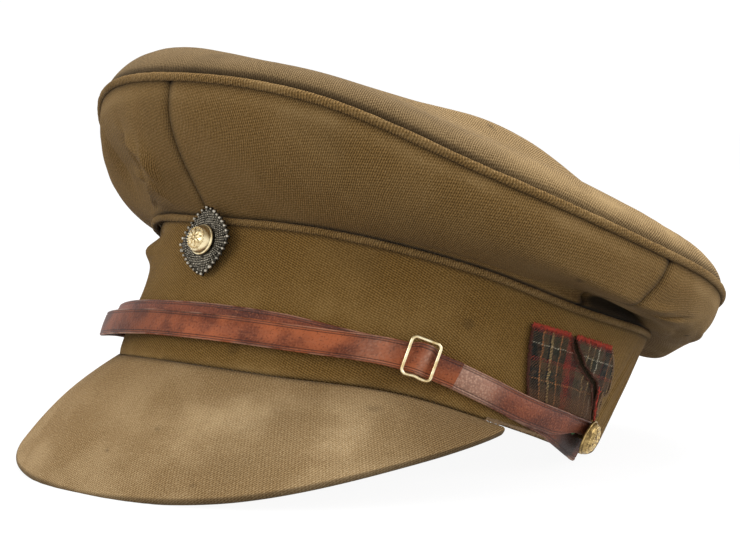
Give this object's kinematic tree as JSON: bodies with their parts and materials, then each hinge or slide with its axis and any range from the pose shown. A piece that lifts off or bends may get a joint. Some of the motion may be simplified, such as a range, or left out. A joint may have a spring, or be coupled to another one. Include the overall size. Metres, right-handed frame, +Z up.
{
  "type": "peaked cap",
  "caption": "Soft cloth peaked cap with a wide drooping crown, stiff band, sloping cloth peak, leather chin strap with a wire buckle, rayed badge and a torn tartan patch.",
  "frame": {"origin": "middle of the bounding box, at the surface the cap rests on", "axes": "+Z up, +X towards the wearer's left, -Y towards the front of the cap; the cap stands tilted back on its peak and the back of its band"},
  "size_m": [0.244, 0.2832, 0.1541],
  "materials": {
    "crown_cloth": "matt khaki twill",
    "peak_cloth": "matt faded khaki twill",
    "strap_leather": "worn satin",
    "strap_brass": "worn satin",
    "tartan": "matt woven check, torn",
    "badge_silver": "dark oxidised silver",
    "badge_gilt": "polished gilt"
  },
  "bodies": {
    "root": {"crown_top": "crown_cloth", "crown_welt": "crown_cloth", "side_front_left": "crown_cloth", "side_front_right": "crown_cloth", "side_rear_left": "crown_cloth", "side_rear_right": "crown_cloth", "band_welt": "crown_cloth", "band": "crown_cloth", "peak": "peak_cloth", "strap_upper": "strap_leather", "strap_under": "strap_leather", "buckle": "strap_brass", "button_left": "strap_brass", "button_right": "strap_brass", "patch_front": "tartan", "patch_rear": "tartan", "badge_plate": "badge_silver", "badge_boss": "badge_gilt"}
  },
  "joints": []
}
